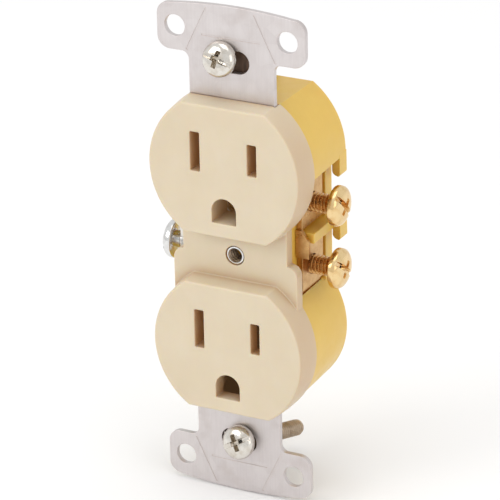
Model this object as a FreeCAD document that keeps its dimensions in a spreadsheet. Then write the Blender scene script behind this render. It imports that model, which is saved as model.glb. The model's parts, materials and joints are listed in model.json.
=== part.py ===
import FreeCAD, Part
import math
import os
import re
import Sketcher

# Duplex wall outlet on its mounting strap, in millimetres.
# Origin: centre of the cover-screw bush's mouth, on the front plane of the strap's ears.
# +X right seen from the front, +Y back into the wall box, +Z up.

sizes = {
    # the two faces
    "face_pitch": 38.89,
    "face_height": 4.6,
    "face_radius": 17.05,
    "face_cut": 2.75,
    "face_draft": 4.5,
    "face_edge": 0.5,
    "front_wall": 3.2,
    "side_wall": 2.3,
    # the bridge between the faces, and its side notches
    "bridge_height": 0.2,
    "narrow_in": 5.25,
    "wide_in": 3.05,
    "notch_low": -0.4,
    "seam_depth": 2.3,
    # openings for the plug
    "blade_pitch": 12.7,
    "blade_rise": 3.7,
    "ground_drop": 11.89,
    "neutral_wide": 2.05,
    "neutral_tall": 8.35,
    "hot_wide": 1.95,
    "hot_tall": 6.65,
    "lead_in_wide": 1.1,
    "lead_in_deep": 0.25,
    "ground_hole": 2.7,
    "guide_wall": 0.9,
    # rear body
    "body_depth": 17.8,
    "body_step": 0.25,
    "body_flat_step": 0.4,
    "body_draft": 1.0,
    "body_edge": 0.5,
    "chamber_deep": 4.1,
    "chamber_top": 18.4,
    "wall_proud": 0.43,
    "wall_sink": 3.0,
    "rib_rise": 0.5,
    "rib_tall": 2.2,
    "rib_out": 2.5,
    "rib_front": 5.4,
    "lug_out": 3.9,
    "lug_wide": 1.8,
    "lug_deep": 3.3,
    "ledge_drop": 3.9,
    "rib_drop": 4.7,
    "lug_round": 1.2,
    "lug_corner": 0.5,
    "contact_well": 13.2,
    "well_gap": 0.4,
    "ground_well": 13.4,
    # mounting strap
    "strap_thick": 1.2,
    "ear_half": 16.4,
    "ear_start": 0.73,
    "ear_tall": 9.8,
    "ear_crown": 0.9,
    "ear_corner": 2.6,
    "neck_half": 9.45,
    "neck_fillet": 1.6,
    "joggle_above": 0.25,
    "joggle_run": 2.55,
    "shoulder_tall": 2.65,
    "spine_half": 4.0,
    "lug_half": 6.8,
    "lug_tall": 4.6,
    "ear_hole": 2.25,
    "ear_hole_across": 24.9,
    "ear_hole_rise": 5.1,
    "box_above": 7.675,
    "slot_gap": 0.6,
    "slot_play": 3.3,
    "score_deep": 0.08,
    "score_wide": 0.4,
    "score_in": 5.3,
    "score_low": 4.1,
    "score_half": 6.4,
    "pin_clearance": 3.5,
    # bush for the cover screw
    "bush_radius": 1.95,
    "bush_bore": 1.45,
    "bush_length": 6.5,
    "bush_flange": 2.9,
    "flange_thick": 0.6,
    "bush_bevel": 0.2,
    "bush_well": 10.0,
    "bush_gap": 0.15,
    # box screws and their fibre retainers
    "box_shank": 1.75,
    "box_length": 25.4,
    "box_tip": 0.9,
    "box_head": 3.6,
    "box_head_thick": 2.3,
    "dome_share": 0.62,
    "tip_share": 0.6,
    "box_droop": 16.0,
    "lower_lean": 4.5,
    "upper_offset": -1.75,
    "upper_lift": 0.2,
    "lower_offset": 0.93,
    "retainer_half": 4.9,
    "retainer_thick": 0.8,
    "retainer_fit": 0.33,
    "retainer_gap": 0.1,
    # terminal screws
    "screw_pitch": 13.7,
    "screw_depth": 9.4,
    "screw_shank": 2.05,
    "screw_length": 7.4,
    "screw_head": 4.2,
    "screw_head_thick": 1.9,
    "screw_crown": 0.6,
    "screw_out": 5.0,
    "screw_fit": 0.06,
    "screw_well_gap": 0.3,
    "screw_tip_gap": 0.1,
    "head_gap": 0.4,
    "recess_wide": 1.15,
    "recess_deep": 1.0,
    # bus bars with their blade contacts
    "bar_thick": 1.2,
    "bar_proud": 0.2,
    "bar_front": 4.6,
    "bar_back": 14.0,
    "bar_ends": 0.7,
    "bar_gap": 0.15,
    "bar_groove": 0.8,
    "plate_clear": 1.0,
    "tail_thick": 0.6,
    "fin_front": 4.0,
    "fin_back": 4.9,
    "fin_out": 1.7,
    "fin_high": 2.4,
    "fin_low": 3.6,
    "fin_slope": 2.3,
    "web_depth": 11.6,
    "leaf_thick": 0.5,
    "leaf_gap": 1.3,
    "leaf_front": 4.2,
    "contact_tall": 7.0,
    # ground contacts, their rivets, and the ground tab
    "ground_plate": 0.6,
    "ground_plate_half": 2.6,
    "ground_grip": 2.35,
    "ground_leaf": 0.6,
    "ground_leaf_half": 2.5,
    "ground_leaf_end": 12.6,
    "rivet_place": 5.1,
    "rivet_radius": 0.9,
    "rivet_head": 1.5,
    "rivet_rise": 0.5,
    "tab_face": 12.2,
    "tab_centre": -28.8,
    "tab_half": 4.1,
    "tab_end": 14.0,
    "tab_arm_half": 2.6,
    # assembly screws
    "fixing_clear": 0.25,
    "fixing_rise": 10.85,
    "fixing_radius": 1.3,
    "fixing_hole": 1.4,
    "fixing_boss": 2.9,
    "fixing_head": 2.7,
    "fixing_head_thick": 1.7,
    "fixing_sink": 1.9,
    "fixing_end": -0.4,
    # push-in wire holes and springs
    "wire_hole": 1.2,
    "wire_place": 1.3,
    "wire_step": 4.85,
    "release_wide": 1.0,
    "release_tall": 2.8,
    "release_place": 3.8,
    "pocket_in": 4.0,
    "pocket_half": 1.6,
    "pocket_back": 15.3,
    "spring_half": 1.3,
    "spring_thick": 0.4,
    "spring_gap": 0.2,
    "spring_front": 5.6,
    "spring_bend": 1.0,
    "spring_fold": 1.5,
    "spring_tip": 12.8,
    "spring_tip_gap": 0.45,
}

# sizes that follow from the ones above, so that neighbours keep fitting when one of them changes
derived = {
    "face_flat": "face_radius - face_cut",
    "bridge_narrow": "face_radius - narrow_in",
    "bridge_wide": "face_radius - wide_in",
    "body_radius": "face_radius - body_step",
    "body_flat": "face_flat - body_flat_step",
    "chamber_floor": "body_radius - chamber_deep",
    "bar_face": "chamber_floor + bar_proud",
    "bar_inside": "bar_face - bar_thick",
    "rib_high": "blade_rise + rib_rise + rib_tall / 2",
    "rib_low": "blade_rise + rib_rise - rib_tall / 2",
    "rib_reach": "chamber_floor + rib_out",
    "lug_reach": "chamber_floor + lug_out",
    "plate_high": "chamber_top - plate_clear",
    "plate_low": "sqrt(body_radius^2 - chamber_floor^2) - face_pitch / 2 + plate_clear",
    "joggle_deep": "seam_depth",
    "joggle_high": "face_pitch / 2 + face_flat + joggle_above",
    "joggle_low": "joggle_high - joggle_run",
    "spine_end": "joggle_low - shoulder_tall",
    "strap_floor": "seam_depth + strap_thick",
    "box_half": "joggle_high + box_above",
    "ear_low": "box_half + ear_start",
    "ear_side": "ear_low + ear_tall",
    "strap_half": "ear_side + ear_crown",
    "ear_hole_along": "2 * (ear_low + ear_hole_rise)",
    "slot_wide": "2 * box_shank + slot_gap * 2",
    "retainer_hole": "box_shank + retainer_fit",
    "screw_well": "screw_shank + screw_well_gap",
    "upper_fixing": "joggle_low - fixing_boss - fixing_clear",
    "lower_fixing": "fixing_rise - face_pitch / 2",
}

document = FreeCAD.newDocument("duplex_outlet")
sheet = document.addObject("Spreadsheet::Sheet", "Dims")
for row, (alias, number) in enumerate(sizes.items(), start=1):
    sheet.set("A%d" % row, alias.replace("_", " "))
    sheet.set("B%d" % row, str(number))
    sheet.setAlias("B%d" % row, alias)
document.recompute()

nodes = []


def cells(text):
    """The expression with derived sizes written out and every size's name pointed at the spreadsheet."""
    def written_out(word):
        if word[0] in derived:
            return "(%s)" % cells(derived[word[0]])
        return "Dims." + word[0] if word[0] in sizes else word[0]

    return re.sub(r"[a-z]\w*", written_out, str(text))


def size(text):
    """The present value of an expression of named sizes."""
    result = sheet.evalExpression(cells(text))
    return float(getattr(result, "Value", result))


def add_body(name):
    body = document.addObject("PartDesign::Body", name)
    body.Label = name
    nodes.append(body)
    return body


def add_sketch(body, name, plane, place):
    """An empty sketch on one of the body's origin planes, moved out to the coordinate 'place'."""
    sketch = body.newObject("Sketcher::SketchObject", body.Name + "_" + name)
    origin_plane = [feature for feature in body.Origin.OriginFeatures if feature.Role == plane][0]
    sketch.AttachmentSupport = (origin_plane, [""])
    sketch.MapMode = "FlatFace"
    side = "-1" if plane == "XZ_Plane" else "1"
    sketch.setExpression("AttachmentOffset.Base.z", cells("%s * (%s)" % (side, place)))
    return sketch


def fix(sketch, kind, geometry, point, text):
    """Hold one coordinate of a point at an expression, measured from the sketch's origin."""
    value = size(text)
    if abs(value) < 1e-9:
        axis = -2 if kind == "DistanceX" else -1
        sketch.addConstraint(Sketcher.Constraint("PointOnObject", geometry, point, axis))
        return
    index = sketch.addConstraint(Sketcher.Constraint(kind, -1, 1, geometry, point, value))
    sketch.setExpression("Constraints[%d]" % index, cells(text))


def draw_outline(sketch, corners):
    """A closed outline. A corner is (x, y) for a straight run to the next one, or
    (x, y, centre x, centre y, turn) for an arc, where turn is 1 anticlockwise and -1 clockwise."""
    points = [FreeCAD.Vector(size(corner[0]), size(corner[1]), 0) for corner in corners]
    first = sketch.GeometryCount
    starts = []
    ends = []
    for index, corner in enumerate(corners):
        here = points[index]
        there = points[(index + 1) % len(points)]
        if len(corner) == 2:
            geometry = sketch.addGeometry(Part.LineSegment(here, there), False)
            starts.append(1)
            ends.append(2)
            continue
        centre = FreeCAD.Vector(size(corner[2]), size(corner[3]), 0)
        low, high = (here, there) if corner[4] > 0 else (there, here)
        circle = Part.Circle(centre, FreeCAD.Vector(0, 0, 1), (here - centre).Length)
        low_angle = math.atan2(low.y - centre.y, low.x - centre.x)
        high_angle = math.atan2(high.y - centre.y, high.x - centre.x)
        if high_angle <= low_angle:
            high_angle += 2 * math.pi
        sketch.addGeometry(Part.ArcOfCircle(circle, low_angle, high_angle), False)
        starts.append(1 if corner[4] > 0 else 2)
        ends.append(2 if corner[4] > 0 else 1)
    count = len(corners)
    for index, corner in enumerate(corners):
        geometry = first + index
        follower = first + (index + 1) % count
        sketch.addConstraint(Sketcher.Constraint(
            "Coincident", geometry, ends[index], follower, starts[(index + 1) % count]))
        fix(sketch, "DistanceX", geometry, starts[index], corner[0])
        fix(sketch, "DistanceY", geometry, starts[index], corner[1])
        if len(corner) > 2:
            # a level chord leaves only the centre's height free, and an upright one its x
            run = points[(index + 1) % count] - points[index]
            level = abs(run.x) > abs(run.y)
            fix(sketch, "DistanceY" if level else "DistanceX", geometry, 3, corner[3] if level else corner[2])


def draw_box(sketch, left, right, low, high):
    draw_outline(sketch, [(left, low), (right, low), (right, high), (left, high)])


def draw_circle(sketch, across, up, radius):
    centre = FreeCAD.Vector(size(across), size(up), 0)
    geometry = sketch.addGeometry(Part.Circle(centre, FreeCAD.Vector(0, 0, 1), size(radius)), False)
    number = sketch.addConstraint(Sketcher.Constraint("Radius", geometry, size(radius)))
    sketch.setExpression("Constraints[%d]" % number, cells(radius))
    fix(sketch, "DistanceX", geometry, 3, across)
    fix(sketch, "DistanceY", geometry, 3, up)


def pad(body, sketch, length, backward=False, draft=None):
    """Grow along the sketch's normal, which is -Y on an XZ plane, or the other way if backward."""
    feature = body.newObject("PartDesign::Pad", sketch.Name + "_pad")
    feature.Profile = sketch
    feature.Reversed = backward
    feature.setExpression("Length", cells(length))
    if draft:
        feature.setExpression("TaperAngle", cells("-(%s)" % draft))
    document.recompute()
    return feature


def pocket(body, sketch, length=None, backward=False):
    """Cut against the sketch's normal, through everything if no length is given."""
    before = body.Shape.Volume
    feature = body.newObject("PartDesign::Pocket", sketch.Name + "_pocket")
    feature.Profile = sketch
    feature.Reversed = backward
    if length is None:
        feature.Type = "ThroughAll"
    else:
        feature.setExpression("Length", cells(length))
    document.recompute()
    if body.Shape.Volume > before - 1e-4:
        raise RuntimeError(feature.Name + " cuts nothing")
    return feature


def funnel(body, wide, narrow):
    """Cut a straight-sided funnel from one sketch's outline to the next one's."""
    feature = body.newObject("PartDesign::SubtractiveLoft", wide.Name + "_funnel")
    feature.Profile = wide
    feature.Sections = [narrow]
    feature.Ruled = True
    document.recompute()
    return feature


def round_edges(body, radius, wanted):
    """Fillet the body's edges for which wanted(edge) is true."""
    base = body.Tip
    names = ["Edge%d" % (index + 1) for index, edge in enumerate(base.Shape.Edges) if wanted(edge)]
    feature = body.newObject("PartDesign::Fillet", body.Name + "_edges")
    feature.Base = (base, names)
    feature.setExpression("Radius", cells(radius))
    document.recompute()
    return feature


def lies_at(edge, axis, value):
    """True if the whole edge lies in the plane where the axis has this value."""
    box = edge.BoundBox
    low, high = ((box.XMin, box.XMax), (box.YMin, box.YMax), (box.ZMin, box.ZMax))[axis]
    return abs(low - value) < 1e-4 and abs(high - value) < 1e-4


def chord(radius, reach):
    """Half the chord of a circle at this distance from its centre."""
    return "sqrt((%s)^2 - (%s)^2)" % (radius, reach)


def face_centre(side):
    return "%d * face_pitch / 2" % side


def blade_line(side):
    return "%d * face_pitch / 2 + blade_rise" % side


def ground_line(side):
    return "%d * face_pitch / 2 + blade_rise - ground_drop" % side


def screw_line(side):
    """Height of the terminal screws: half a pitch each side of the bus bar's middle."""
    return "blade_rise + %d * screw_pitch / 2" % side


def wire_line(side):
    """Height of the push-in wire holes, outside the terminal screws."""
    return "blade_rise + %d * (screw_pitch / 2 + wire_step)" % side


def draw_face(sketch, side, radius, flat):
    """A round face with a flat at its top and bottom."""
    middle = face_centre(side)
    half = chord(radius, flat)
    high = "%s + (%s)" % (middle, flat)
    low = "%s - (%s)" % (middle, flat)
    draw_outline(sketch, [
        (half, high, "0", middle, -1),
        (half, low),
        ("-" + half, low, "0", middle, -1),
        ("-" + half, high),
    ])


def cover_outline(sketch):
    """Both faces joined by the bridge, whose sides are notched beside the terminal screws."""
    shoulder = "(bridge_wide - bridge_narrow)"
    top = "%s + face_flat" % face_centre(1)
    bottom = "%s - face_flat" % face_centre(-1)
    half = chord("face_radius", "face_flat")
    meet_high = "%s - %s" % (face_centre(1), chord("face_radius", "bridge_narrow"))
    meet_low = "%s + %s" % (face_centre(-1), chord("face_radius", "bridge_wide"))
    low = "notch_low - %s" % shoulder
    draw_outline(sketch, [
        (half, top, "0", face_centre(1), -1),
        ("bridge_narrow", meet_high),
        ("bridge_narrow", "notch_low", "bridge_narrow", low, -1),
        ("bridge_wide", low),
        ("bridge_wide", meet_low, "0", face_centre(-1), -1),
        (half, bottom),
        ("-" + half, bottom, "0", face_centre(-1), -1),
        ("-bridge_wide", meet_low),
        ("-bridge_wide", low, "-bridge_narrow", low, -1),
        ("-bridge_narrow", "notch_low"),
        ("-bridge_narrow", meet_high, "0", face_centre(1), -1),
        ("-" + half, top),
    ])


def draw_ground_hole(sketch, side, radius):
    """Round at the top, square at the bottom."""
    middle = ground_line(side)
    low = "%s - (%s)" % (middle, radius)
    draw_outline(sketch, [
        (radius, low),
        (radius, middle, "0", middle, 1),
        ("-(%s)" % radius, middle),
        ("-(%s)" % radius, low),
    ])


blades = (("neutral", -1), ("hot", 1))


def draw_blade(sketch, blade, hand, side, margin):
    across = "%d * blade_pitch / 2" % hand
    half = "(%s_wide / 2 + %s)" % (blade, margin)
    tall = "(%s_tall / 2 + %s)" % (blade, margin)
    middle = blade_line(side)
    draw_box(sketch, "%s - %s" % (across, half), "%s + %s" % (across, half),
             "%s - %s" % (middle, tall), "%s + %s" % (middle, tall))


def front_cover():
    body = add_body("front_cover")
    base = add_sketch(body, "base", "XZ_Plane", "seam_depth")
    cover_outline(base)
    pad(body, base, "seam_depth + bridge_height")
    for side in (1, -1):
        face = add_sketch(body, "face", "XZ_Plane", "-bridge_height")
        draw_face(face, side, "face_radius", "face_flat")
        pad(body, face, "face_height - bridge_height", draft="face_draft")
    round_edges(body, "face_edge", lambda edge: lies_at(edge, 1, -size("face_height")))
    hollow = "seam_depth + face_height - front_wall"
    for side in (1, -1):
        inside = add_sketch(body, "inside", "XZ_Plane", "seam_depth")
        draw_face(inside, side, "face_radius - side_wall", "face_flat - side_wall")
        pocket(body, inside, hollow, backward=True)
    for side in (1, -1):
        guides = add_sketch(body, "guides", "XZ_Plane", "seam_depth")
        for blade, hand in blades:
            draw_blade(guides, blade, hand, side, "guide_wall")
        draw_ground_hole(guides, side, "ground_hole + guide_wall")
        pad(body, guides, hollow)
    boss = add_sketch(body, "boss", "XZ_Plane", "seam_depth")
    draw_circle(boss, "0", "upper_fixing", "fixing_boss")
    draw_circle(boss, "0", "lower_fixing", "fixing_boss")
    pad(body, boss, hollow)
    for side in (1, -1):
        openings = add_sketch(body, "openings", "XZ_Plane", "-face_height")
        for blade, hand in blades:
            draw_blade(openings, blade, hand, side, "0")
        draw_ground_hole(openings, side, "ground_hole")
        pocket(body, openings)
        for blade, hand in blades:
            lead_in = []
            for name, depth, margin in (("wide", "0", "lead_in_wide"), ("narrow", "lead_in_deep", "0")):
                lead_in.append(add_sketch(body, "lead_in_" + name, "XZ_Plane", depth + " - face_height"))
                draw_blade(lead_in[-1], blade, hand, side, margin)
            funnel(body, *lead_in)
        ends = ("face_flat - side_wall - 1", "strap_half")
        low, high = ["%s + %s" % (face_centre(1), end) for end in ends]
        if side < 0:
            low, high = "-(%s)" % high, "-(%s)" % low
        add_box(body, "strap_notch", 1, "-(neck_half + bar_gap)", "neck_half + bar_gap", "-bar_gap",
                "seam_depth + 1", low, high, cut=True)
    bush_hole = add_sketch(body, "bush_hole", "XZ_Plane", "-face_height")
    draw_circle(bush_hole, "0", "0", "bush_radius + bush_gap")
    pocket(body, bush_hole)
    fixing = add_sketch(body, "fixing", "XZ_Plane", "seam_depth")
    draw_circle(fixing, "0", "upper_fixing", "fixing_hole")
    draw_circle(fixing, "0", "lower_fixing", "fixing_hole")
    pocket(body, fixing, "seam_depth - fixing_end + bar_gap", backward=True)
    return body


def body_outline(sketch):
    """Two round barrels; between them the flat floors of the terminal chambers."""
    half = chord("body_radius", "body_flat")
    top = "%s + body_flat" % face_centre(1)
    bottom = "%s - body_flat" % face_centre(-1)
    ledge = chord("body_radius", "chamber_top - " + face_centre(1))
    meet = "%s + %s" % (face_centre(-1), chord("body_radius", "chamber_floor"))
    draw_outline(sketch, [
        (half, top, "0", face_centre(1), -1),
        (ledge, "chamber_top"),
        ("chamber_floor", "chamber_top"),
        ("chamber_floor", meet, "0", face_centre(-1), -1),
        (half, bottom),
        ("-" + half, bottom, "0", face_centre(-1), -1),
        ("-chamber_floor", meet),
        ("-chamber_floor", "chamber_top"),
        ("-" + ledge, "chamber_top", "0", face_centre(1), -1),
        ("-" + half, top),
    ])


def add_box(body, name, hand, near, far, front, back, low, high, cut=False):
    """A block between two depths, on the right for hand 1 and mirrored to the left for -1."""
    sketch = add_sketch(body, name, "XZ_Plane", back)
    sides = ("%d * (%s)" % (hand, near), "%d * (%s)" % (hand, far))
    left, right = sides if hand > 0 else sides[::-1]
    draw_box(sketch, left, right, low, high)
    length = "(%s) - (%s)" % (back, front)
    if cut:
        return pocket(body, sketch, length, backward=True)
    return pad(body, sketch, length)


def add_bore(body, name, hand, middle, radius, inner, outer):
    """A round hole along X in one side of the body."""
    sketch = add_sketch(body, name, "YZ_Plane", "%d * (%s)" % (hand, outer))
    draw_circle(sketch, "screw_depth", middle, radius)
    return pocket(body, sketch, "(%s) - (%s)" % (outer, inner), backward=hand < 0)


def add_well(body, name, hand, near, far, back, low, high):
    """A hollow open towards the front cover."""
    return add_box(body, name, hand, near, far, "seam_depth - 1", back, low, high, cut=True)


def well_end(face):
    """Where a screw's hole ends behind the plate with this outer face: just past its driven tip."""
    return "%s - screw_length - screw_tip_gap" % face


def add_wire_lug(body, name, hand, low, high):
    """A hook at the back of a terminal chamber, rounded underneath, that keeps a looped wire in place."""
    sketch = add_sketch(body, name, "XZ_Plane", "body_depth")
    inner = "(lug_reach - lug_wide)"
    corners = [
        (inner, high),
        (inner, low + " + lug_round", inner + " + lug_round", low + " + lug_round", 1),
        (inner + " + lug_round", low),
        ("lug_reach - lug_corner", low, "lug_reach - lug_corner", low + " + lug_corner", 1),
        ("lug_reach", low + " + lug_corner"),
        ("lug_reach", high),
    ]
    if hand < 0:
        corners = [mirrored(corner) for corner in corners]
    draw_outline(sketch, corners)
    pad(body, sketch, "lug_deep")


def mirrored(corner):
    """An outline's corner on the other side of the upright axis."""
    if len(corner) == 2:
        return ("-(%s)" % corner[0], corner[1])
    return ("-(%s)" % corner[0], corner[1], "-(%s)" % corner[2], corner[3], -corner[4])


def bend_relief(body, way):
    """Room for the rounded back of the strap's bend."""
    sketch = add_sketch(body, "bend_relief", "YZ_Plane", "neck_half + bar_gap")
    middle = "(strap_thick / 2 + joggle_deep - %s)" % bend_radius
    outer = "(%s + strap_thick / 2 + bar_gap)" % bend_radius
    low = "%d * joggle_low" % way
    high = "%d * (joggle_low + %s)" % (way, outer)
    draw_outline(sketch, [
        ("0", low), ("0", high), (middle, high, middle, low, -way), ("%s + %s" % (middle, outer), low),
    ])
    pocket(body, sketch, "2 * (neck_half + bar_gap)")


def rear_body():
    body = add_body("rear_body")
    shell = add_sketch(body, "shell", "XZ_Plane", "seam_depth")
    body_outline(shell)
    pad(body, shell, "body_depth - seam_depth", backward=True, draft="body_draft")
    round_edges(body, "body_edge", lambda edge: lies_at(edge, 1, size("body_depth")))

    for hand in (1, -1):
        add_box(body, "rib", hand, "bar_inside - 1", "rib_reach", "rib_front", "body_depth",
                "rib_low", "rib_high")
        add_box(body, "rear_wall", hand, "chamber_floor - 1", "chamber_floor + wall_proud",
                "bar_back + bar_groove", "body_depth", "plate_low - plate_clear - wall_sink", "chamber_top + 1")
        add_wire_lug(body, "rib_lug", hand, "rib_high - rib_drop", "rib_high")
        add_wire_lug(body, "ledge_lug", hand, "chamber_top - ledge_drop", "chamber_top + 1")

    channel = add_sketch(body, "channel", "XZ_Plane", "seam_depth")
    wide = "neck_half + bar_gap"
    narrow = "lug_half + bar_gap"
    notch = "spine_end - bar_gap"
    top = "joggle_low"
    draw_outline(channel, [
        (wide, top), (wide, notch), (narrow, notch), (narrow, "-(%s)" % notch),
        (wide, "-(%s)" % notch), (wide, "-" + top), ("-(%s)" % wide, "-" + top),
        ("-(%s)" % wide, "-(%s)" % notch), ("-(%s)" % narrow, "-(%s)" % notch),
        ("-(%s)" % narrow, notch), ("-(%s)" % wide, notch), ("-(%s)" % wide, top),
    ])
    pocket(body, channel, "strap_thick + bar_gap")
    for way in (1, -1):
        bend_relief(body, way)

    plate_in = "bar_inside - bar_gap"
    plate_out = "bar_face + bar_gap"
    tail_out = "bar_inside + tail_thick + bar_gap"
    well_in = "blade_pitch / 2 - leaf_gap / 2 - leaf_thick - well_gap"
    reach = "(contact_tall / 2 + bar_gap + well_gap)"
    back = "bar_back + bar_gap"
    groove = "bar_back + bar_groove"
    for hand in (1, -1):
        for side in (1, -1):
            add_well(body, "contact_well", hand, well_in, tail_out, "contact_well",
                     "%s - %s" % (blade_line(side), reach), "%s + %s" % (blade_line(side), reach))
        add_well(body, "tail_seat", hand, plate_in, tail_out, back,
                 "%s - %s" % (blade_line(-1), reach), "rib_low")
        add_well(body, "tail_seat", hand, plate_in, tail_out, back,
                 "rib_high", "%s + %s" % (blade_line(1), reach))
        add_well(body, "plate_seat", hand, plate_in, plate_out, groove, "plate_low - plate_clear", "rib_low")
        add_well(body, "plate_seat", hand, plate_in, plate_out, groove, "rib_high", "plate_high + bar_gap")
        add_well(body, "fin_seat", hand, plate_in, "rib_reach + 1", "rib_front",
                 "rib_low - 1", "rib_high + 1")
        for side in (1, -1):
            add_bore(body, "screw_well", hand, screw_line(side), "screw_well", well_end("bar_face"),
                     "chamber_floor + 1")
            add_well(body, "spring_pocket", hand, "bar_inside - pocket_in", "bar_inside + bar_gap",
                     "pocket_back", "%s - pocket_half" % wire_line(side), "%s + pocket_half" % wire_line(side))

    for side in (1, -1):
        middle = ground_line(side)
        add_well(body, "ground_seat", 1, "-lug_half", "lug_half",
                 "strap_floor + ground_plate + rivet_rise + bar_gap",
                 middle + " - ground_plate_half - bar_gap", middle + " + ground_plate_half + bar_gap")
        half = "(ground_leaf_half + well_gap)"
        tall = "(ground_grip + ground_leaf + well_gap)"
        add_well(body, "ground_well", 1, "-" + half, half, "ground_well",
                 "%s - %s" % (middle, tall), "%s + %s" % (middle, tall))

    add_well(body, "tab_chamber", -1, "tab_face - strap_thick - bar_gap", "body_radius + 1", "body_depth + 1",
             "-strap_half", "tab_centre + screw_head + head_gap")
    add_well(body, "tab_arm_seat", -1, "spine_half", "tab_face", "strap_floor + bar_gap",
             "tab_centre - tab_arm_half - bar_gap", "tab_centre + tab_arm_half + bar_gap")
    add_bore(body, "ground_screw_well", -1, "tab_centre", "screw_well", well_end("tab_face"), "tab_face")

    bush_well = add_sketch(body, "bush_well", "XZ_Plane", "seam_depth")
    draw_circle(bush_well, "0", "0", "bush_flange + bush_gap")
    pocket(body, bush_well, "bush_well")
    for middle in ("upper_fixing", "lower_fixing"):
        fixing = add_sketch(body, "fixing", "XZ_Plane", "body_depth")
        draw_circle(fixing, "0", middle, "fixing_hole")
        pocket(body, fixing, backward=True)
        sink = add_sketch(body, "fixing_sink", "XZ_Plane", "body_depth")
        draw_circle(sink, "0", middle, "fixing_head + 0.2")
        pocket(body, sink, "fixing_sink", backward=True)

    back_holes = add_sketch(body, "wire_holes", "XZ_Plane", "body_depth")
    for hand in (1, -1):
        for side in (1, -1):
            draw_circle(back_holes, "%d * (bar_inside - wire_place)" % hand, wire_line(side), "wire_hole")
            middle = "%d * (bar_inside - release_place)" % hand
            draw_box(back_holes, middle + " - release_wide / 2", middle + " + release_wide / 2",
                     wire_line(side) + " - release_tall / 2", wire_line(side) + " + release_tall / 2")
    pocket(body, back_holes, "body_depth - pocket_back + 0.1", backward=True)
    return body


def ear_outline(sketch, way):
    """One end of the strap: the neck, and a plate with rounded corners and a slightly crowned end."""
    corner = "(ear_half - ear_corner)"
    crown = "ear_crown"
    crown_radius = "((%s^2 + %s^2) / (2 * %s))" % (corner, crown, crown)
    inner = "(neck_half + neck_fillet)"
    points = [
        ("neck_half", "joggle_high"),
        ("neck_half", "ear_low - neck_fillet", inner, "ear_low - neck_fillet", -1),
        (inner, "ear_low"),
        (corner, "ear_low", corner, "ear_low + ear_corner", 1),
        ("ear_half", "ear_low + ear_corner"),
        ("ear_half", "ear_side - ear_corner", corner, "ear_side - ear_corner", 1),
        (corner, "ear_side", "0", "strap_half - %s" % crown_radius, 1),
        ("-" + corner, "ear_side", "-" + corner, "ear_side - ear_corner", 1),
        ("-ear_half", "ear_side - ear_corner"),
        ("-ear_half", "ear_low + ear_corner", "-" + corner, "ear_low + ear_corner", 1),
        ("-" + corner, "ear_low"),
        ("-" + inner, "ear_low", "-" + inner, "ear_low - neck_fillet", -1),
        ("-neck_half", "ear_low - neck_fillet"),
        ("-neck_half", "joggle_high"),
    ]
    if way > 0:
        draw_outline(sketch, points)
        return
    turned = []
    for corner_point in points:
        flipped = [corner_point[0], "-(%s)" % corner_point[1]]
        if len(corner_point) > 2:
            flipped += [corner_point[2], "-(%s)" % corner_point[3], -corner_point[4]]
        turned.append(tuple(flipped))
    draw_outline(sketch, turned)


# the two bends of the S meet half way, so one radius follows from its depth and its run
bend_radius = "((joggle_deep^2 + joggle_run^2) / (4 * joggle_deep))"


def joggle_outline(sketch, way):
    """Side view of the S bend that takes the strap back between the cover and the body."""
    lean = "(joggle_deep / (2 * %s) - 1)" % bend_radius
    drop = "(joggle_run / (2 * %s))" % bend_radius
    first = "(strap_thick / 2 + %s)" % bend_radius
    second = "(strap_thick / 2 + joggle_deep - %s)" % bend_radius
    outer = "(%s + strap_thick / 2)" % bend_radius
    inner = "(%s - strap_thick / 2)" % bend_radius
    sign = "1 * " if way > 0 else "-1 * "
    high = sign + "joggle_high"
    low = sign + "joggle_low"
    draw_outline(sketch, [
        ("0", high, first, high, way),
        ("%s + %s * %s" % (first, outer, lean), "%s(joggle_high - %s * %s)" % (sign, outer, drop),
         second, low, -way),
        ("joggle_deep", low),
        ("joggle_deep + strap_thick", low, second, low, way),
        ("%s + %s * %s" % (first, inner, lean), "%s(joggle_high - %s * %s)" % (sign, inner, drop),
         first, high, -way),
        ("strap_thick", high),
    ])


def draw_groove(sketch, near, far):
    """A narrow straight groove between two points, given as names of (x, z) pairs."""
    run_across = "((%s) - (%s))" % (far[0], near[0])
    run_up = "((%s) - (%s))" % (far[1], near[1])
    length = "sqrt(%s^2 + %s^2)" % (run_across, run_up)
    aside = "(score_wide / 2 * %s / %s)" % (run_up, length)
    above = "(score_wide / 2 * %s / %s)" % (run_across, length)
    draw_outline(sketch, [
        ("(%s) - %s" % (near[0], aside), "(%s) + %s" % (near[1], above)),
        ("(%s) - %s" % (far[0], aside), "(%s) + %s" % (far[1], above)),
        ("(%s) + %s" % (far[0], aside), "(%s) - %s" % (far[1], above)),
        ("(%s) + %s" % (near[0], aside), "(%s) - %s" % (near[1], above)),
    ])


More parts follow.
